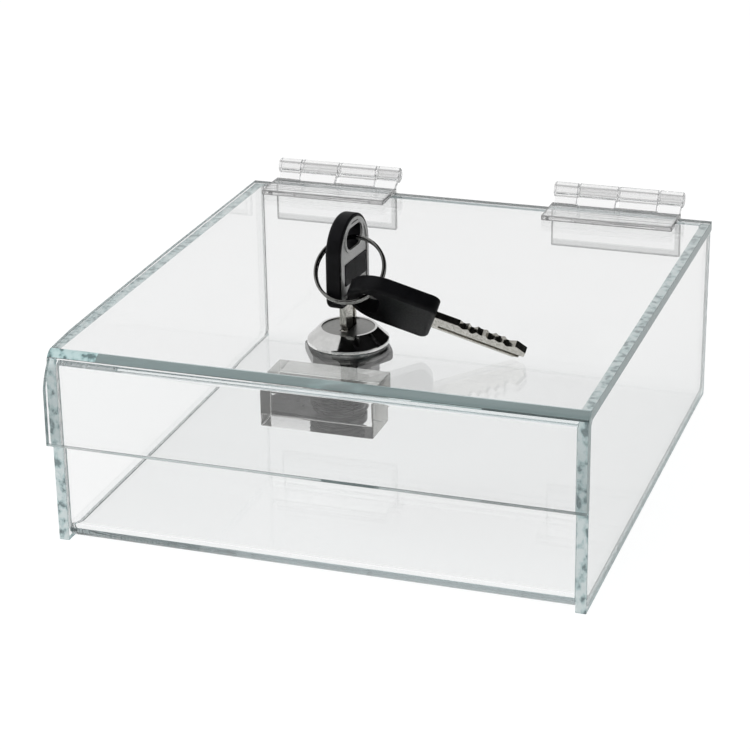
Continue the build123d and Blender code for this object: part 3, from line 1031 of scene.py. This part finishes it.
def studio_floor():
    """A floor that shows white and a faint shadow, and looks dimmer ahead of the box through the plastic."""
    corner = Vector((floor_half, floor_half, 0))
    level = Vector((0, 0, -floor_gap))
    piece = plane_between("floor", level - corner, level + corner)
    made, tree, out = new_material("pale_floor")
    rays = add_node(tree, "ShaderNodeLightPath").outputs
    place = add_node(tree, "ShaderNodeTexCoord").outputs["Object"]
    depth = add_node(tree, "ShaderNodeSeparateXYZ", {"Vector": place}).outputs["Y"]

    def glowing(strength):
        return add_node(tree, "ShaderNodeEmission", {"Strength": strength}).outputs[0]

    def matt(colour):
        return add_node(tree, "ShaderNodeBsdfDiffuse", {"Color": colour}).outputs[0]

    mottle = ramp(tree, object_noise(tree, *floor_mottle), grey_stops(floor_dark, floor_light))
    ahead = (floor_ahead_from, floor_ahead_to, floor_ahead, floor_through)
    through = glowing(map_range(tree, depth, *ahead))
    indirect = mixed_shader(tree, rays["Is Transmission Ray"], glowing(floor_mirrored), through)
    glow = mixed_shader(tree, rays["Is Camera Ray"], indirect, glowing(floor_seen))
    shown = add_node(tree, "ShaderNodeAddShader", {0: matt(mottle), 1: glow}).outputs[0]
    direct = worked_out(tree, "MAXIMUM", (rays["Is Camera Ray"], rays["Is Glossy Ray"]))
    either = worked_out(tree, "MAXIMUM", (direct, rays["Is Transmission Ray"]))
    pale = matt((floor_pale, floor_pale, floor_pale, 1))
    tree.links.new(mixed_shader(tree, either, pale, shown), out.inputs["Surface"])
    piece.data.materials.append(made)


def dark_card():
    """A curved black card above the camera and round to its right, which only metal and gloss show."""
    deselect()
    bpy.ops.mesh.primitive_uv_sphere_add(
        segments=card_segments,
        ring_count=card_rings,
        radius=card_distance,
        location=(0, 0, 0),
    )
    piece = named("dark_card")

    def outside(middle, points):
        turn = math.degrees(math.atan2(middle.x, -middle.y)) - view_yaw
        rise = math.degrees(math.asin(middle.z / middle.length))
        return not (-card_left < turn < card_right and card_low < rise < card_high)

    pick(piece, "FACE", outside)
    bpy.ops.mesh.delete(type="FACE")
    bpy.ops.object.mode_set(mode="OBJECT")
    made, tree, out = new_material("dark_card")
    weave = ramp(tree, object_noise(tree, *card_weave), grey_stops(card_dark, card_light))
    matt = add_node(tree, "ShaderNodeBsdfDiffuse", {"Color": weave})
    tree.links.new(matt.outputs[0], out.inputs["Surface"])
    piece.data.materials.append(made)
    piece.visible_camera = False
    piece.visible_diffuse = False
    piece.visible_shadow = False
    piece.visible_transmission = False


def soft_lamp():
    """A square soft lamp that shines at the middle of the box."""
    data = bpy.data.lights.new("key_lamp", "AREA")
    data.shape = "SQUARE"
    data.size = lamp_size
    data.energy = lamp_power
    lamp = bpy.data.objects.new("key_lamp", data)
    bpy.context.scene.collection.objects.link(lamp)
    lamp.location = lamp_place
    aim = Vector(lamp_aim) - Vector(lamp_place)
    lamp.rotation_euler = aim.to_track_quat("-Z", "Y").to_euler()
    lamp.visible_camera = False
    lamp.visible_glossy = False
    lamp.visible_transmission = False


def camera():
    """The camera at the photograph's place."""
    yaw, pitch, roll = (math.radians(angle) for angle in (view_yaw, view_pitch, view_roll))
    back = Vector((math.sin(yaw) * math.cos(pitch), -math.cos(yaw) * math.cos(pitch), math.sin(pitch)))
    right = Vector((math.cos(yaw), math.sin(yaw), 0))
    up = back.cross(right)
    rolled_right = math.cos(roll) * right + math.sin(roll) * up
    rolled_up = -math.sin(roll) * right + math.cos(roll) * up
    place = back * view_distance + rolled_right * view_aside + rolled_up * view_up
    turn = Matrix((rolled_right, rolled_up, back)).transposed().to_4x4()
    data = bpy.data.cameras.new("camera")
    data.lens = lens_mm
    data.sensor_width = sensor_mm
    data.clip_start = view_nearest
    data.clip_end = view_farthest
    seen = bpy.data.objects.new("camera", data)
    bpy.context.scene.collection.objects.link(seen)
    seen.matrix_world = Matrix.Translation(place) @ turn
    bpy.context.scene.camera = seen


camera()
finish_nodes()
tray()
side_panel("left")
side_panel("right")
catch_block()
lid()
lock_body()
key_badge()
hinge_leaves("left")
hinge_leaves("right")
studio_world()
studio_floor()
dark_card()
soft_lamp()

scene = bpy.context.scene
scene.view_settings.view_transform = "Standard"
scene.cycles.max_bounces = light_bounces
scene.cycles.glossy_bounces = light_bounces
scene.cycles.transmission_bounces = light_bounces
scene.cycles.transparent_max_bounces = see_through_bounces
